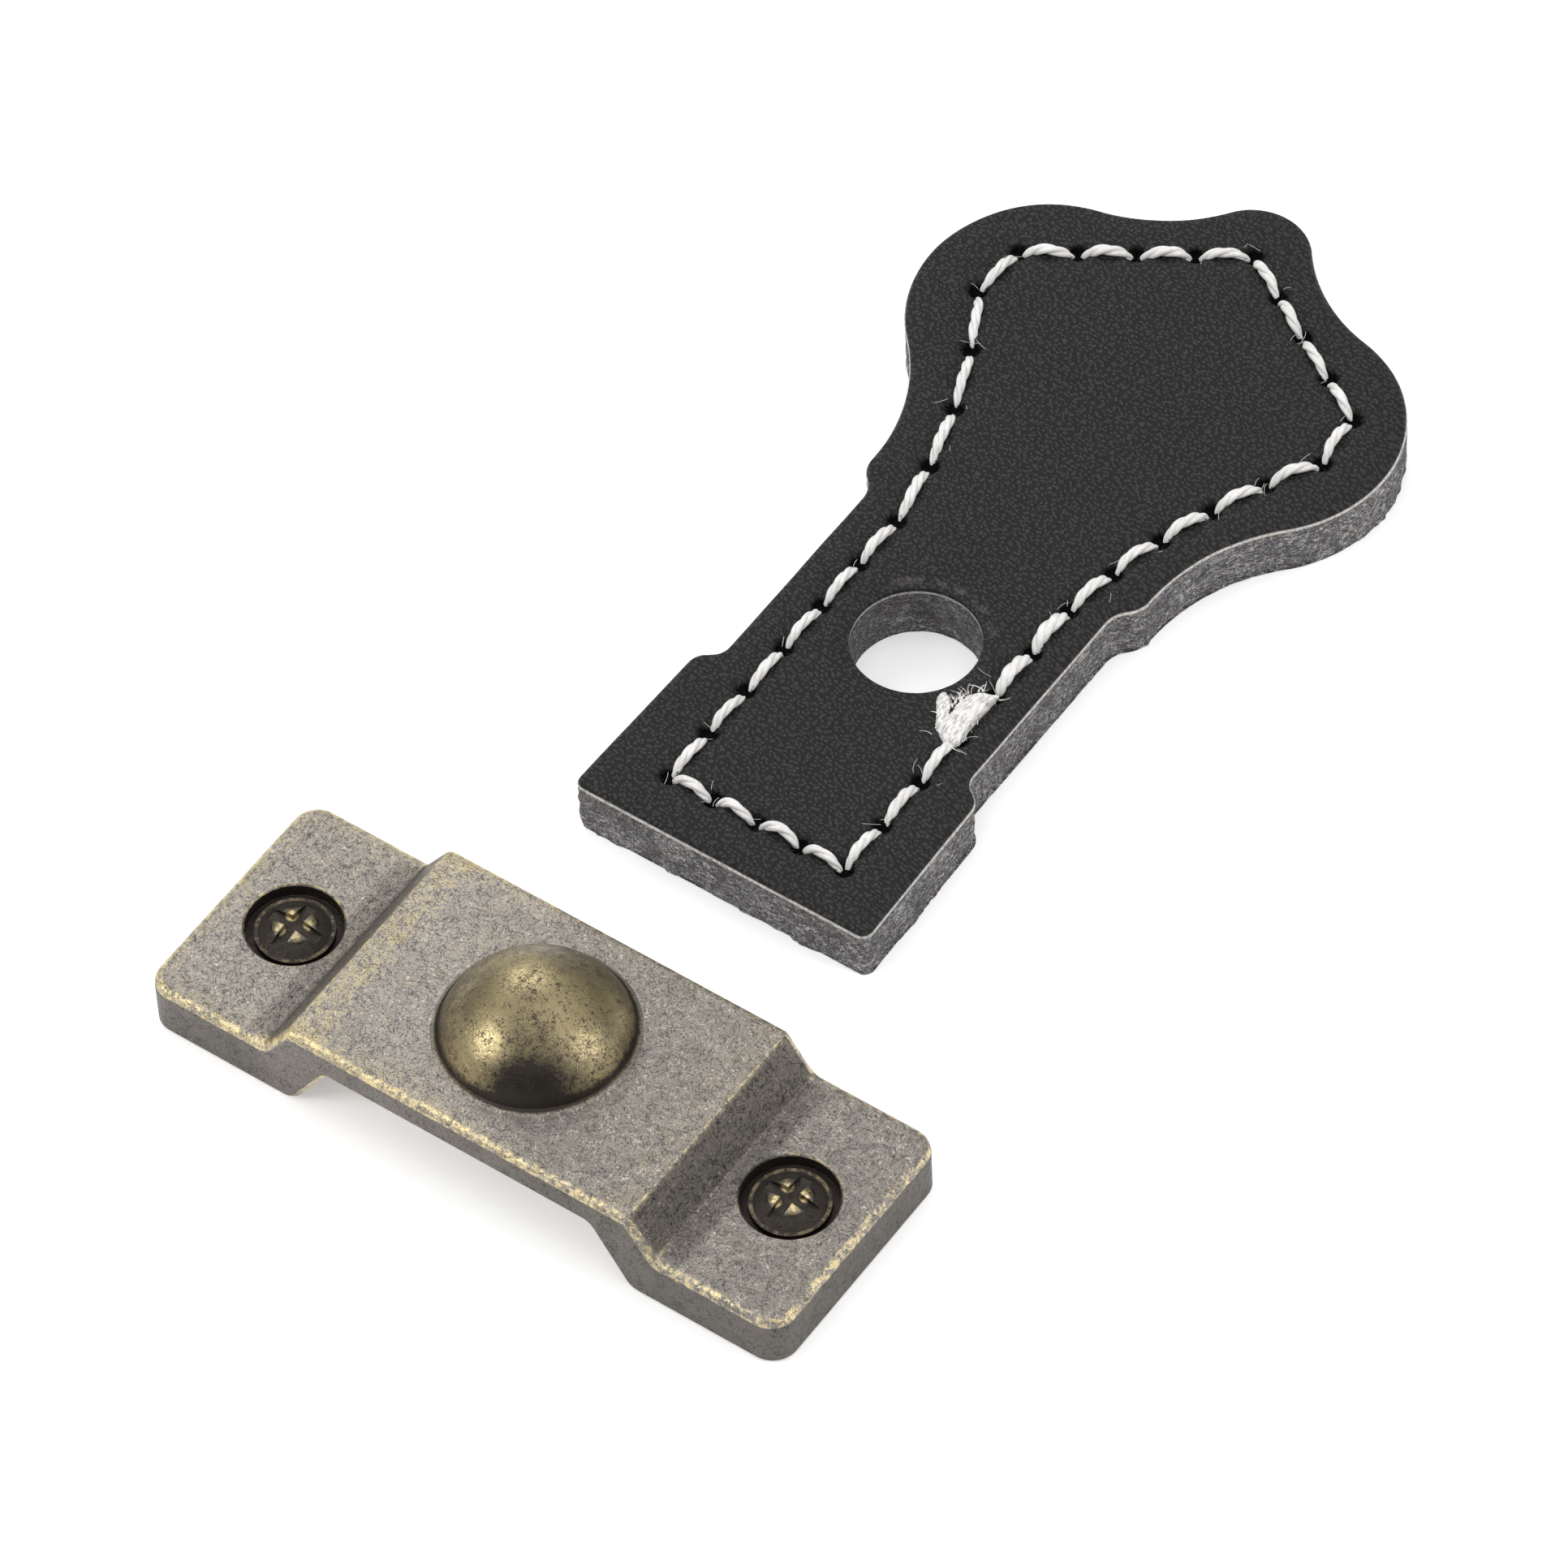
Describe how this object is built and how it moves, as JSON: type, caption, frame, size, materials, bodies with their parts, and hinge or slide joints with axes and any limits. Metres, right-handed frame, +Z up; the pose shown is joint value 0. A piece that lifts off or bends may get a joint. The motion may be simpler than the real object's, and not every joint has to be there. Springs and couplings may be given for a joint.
{
  "type": "leather pull",
  "caption": "Drawer pull taken apart: a cast bracket with a domed bridge in an antique brass finish, and the stitched black leather tab that it clamps, lying loose beside it.",
  "frame": {"origin": "middle of the area that the two parts lie on, on the ground", "axes": "X along the bracket, Y from the bracket to the tab's tip, Z up"},
  "size_m": [0.0552, 0.105, 0.0132],
  "materials": {
    "antique_brass": "cast, darkened antique brass plating, worn bright along the rims and in the slots",
    "black_leather": "fine pebble grain, satin",
    "grey_fibre": "bonded leather fibre, cut edge, matt",
    "white_thread": "twisted polyester thread, matt"
  },
  "bodies": {
    "root": {"bracket": "antique_brass", "leather_face": "black_leather", "leather_core": "grey_fibre", "top_thread": "white_thread", "back_thread": "white_thread"}
  },
  "joints": []
}
